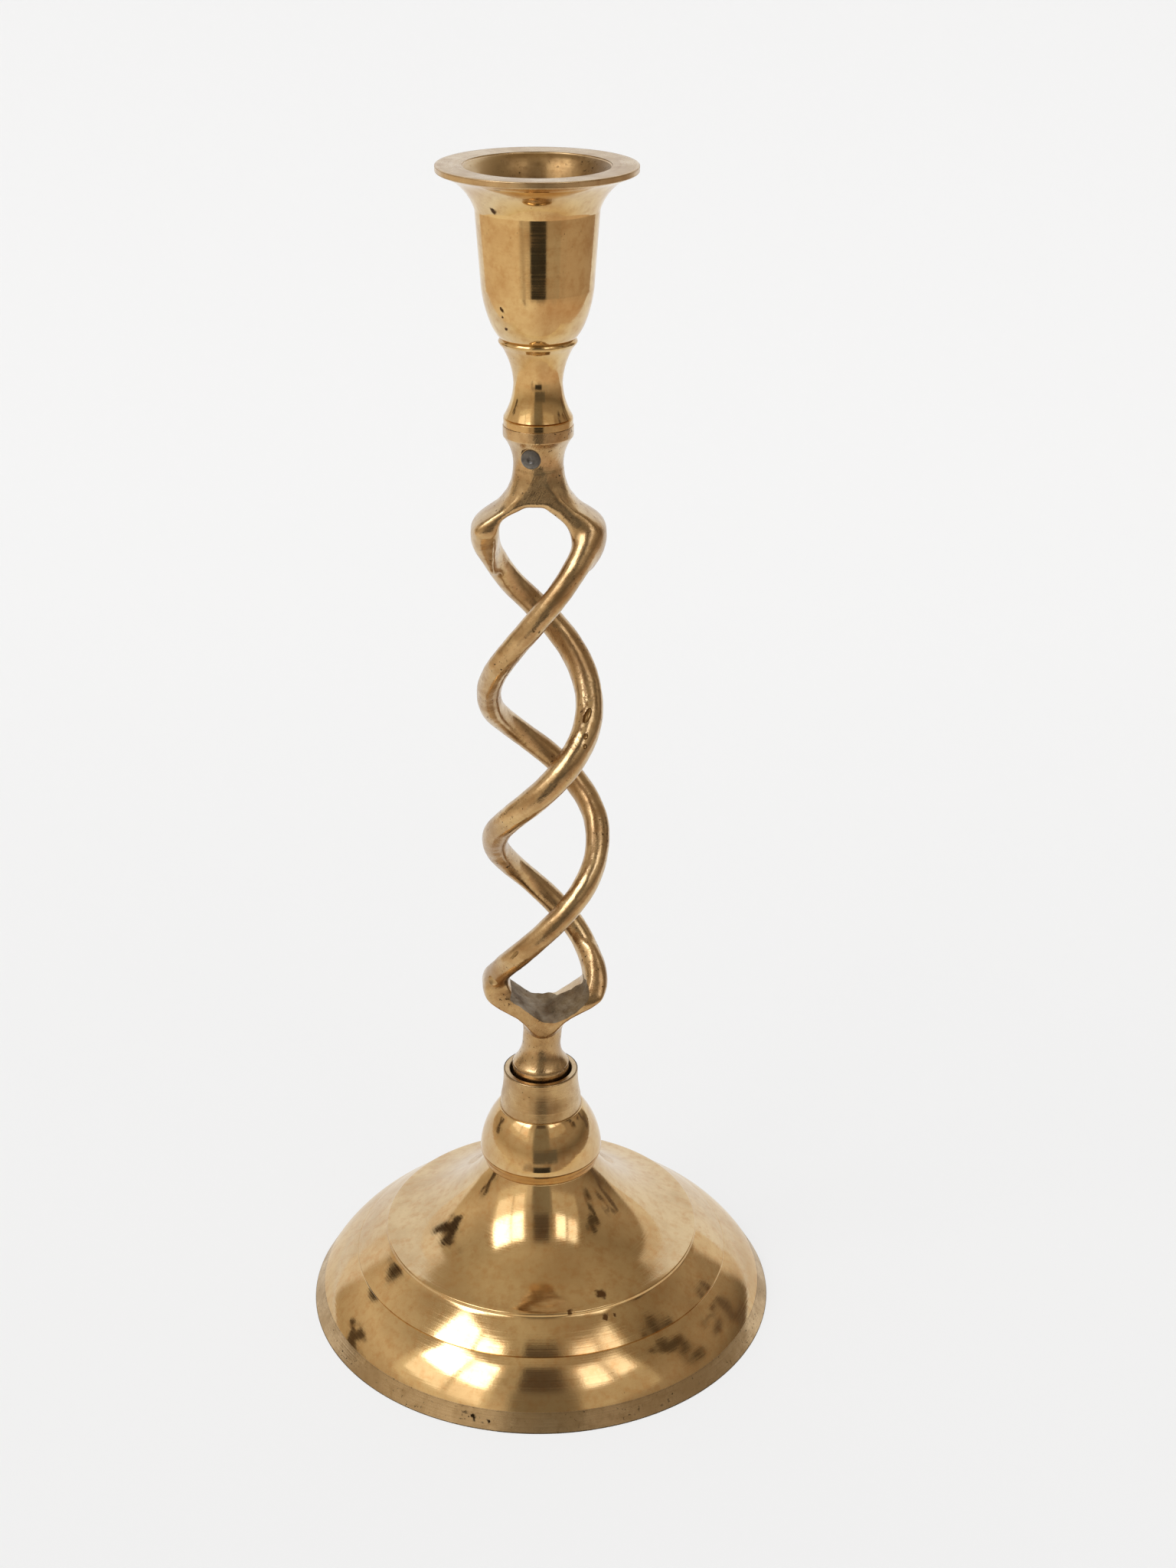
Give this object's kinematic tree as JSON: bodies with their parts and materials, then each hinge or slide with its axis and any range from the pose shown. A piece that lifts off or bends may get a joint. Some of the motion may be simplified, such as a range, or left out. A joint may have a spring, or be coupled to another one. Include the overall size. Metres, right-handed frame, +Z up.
{
  "type": "spiral candle holder",
  "caption": "Tall brass candle holder: an open twisted stem between a flared candle cup and a wide hollow turned foot, screwed together on studs so that the stem unscrews from the foot.",
  "frame": {"origin": "centre of the foot's underside, on the table", "axes": "+Z up along the stem's axis, +X to the right along the yokes, the front of the holder faces -Y"},
  "size_m": [0.114, 0.114, 0.28],
  "materials": {
    "brass": "aged polished cast and turned brass",
    "steel": "dull grey steel",
    "packing": "dark waxed leather"
  },
  "bodies": {
    "base": {"foot": "brass", "knop_collar": "brass", "base_stud": "steel", "base_washer": "steel", "base_nut": "steel"},
    "packing": {"packing_washer": "packing"},
    "column": {"twist_stem": "brass", "candle_cup": "brass", "cup_stud": "steel", "lock_pin": "steel"}
  },
  "joints": [
    {"name": "stem_lift", "type": "slide", "parent": "base", "child": "packing", "axis": [0, 0, 1], "range_m": [0, 0.00953]},
    {"name": "stem_turn", "type": "hinge", "parent": "packing", "child": "column", "pos_m": [0, 0, 0.06], "axis": [0, 0, 1], "range_deg": [0, 2702]}
  ],
  "couplings": [
    {"joint": "stem_turn", "follows": "stem_lift", "rad_per_m": 4947.4}
  ]
}
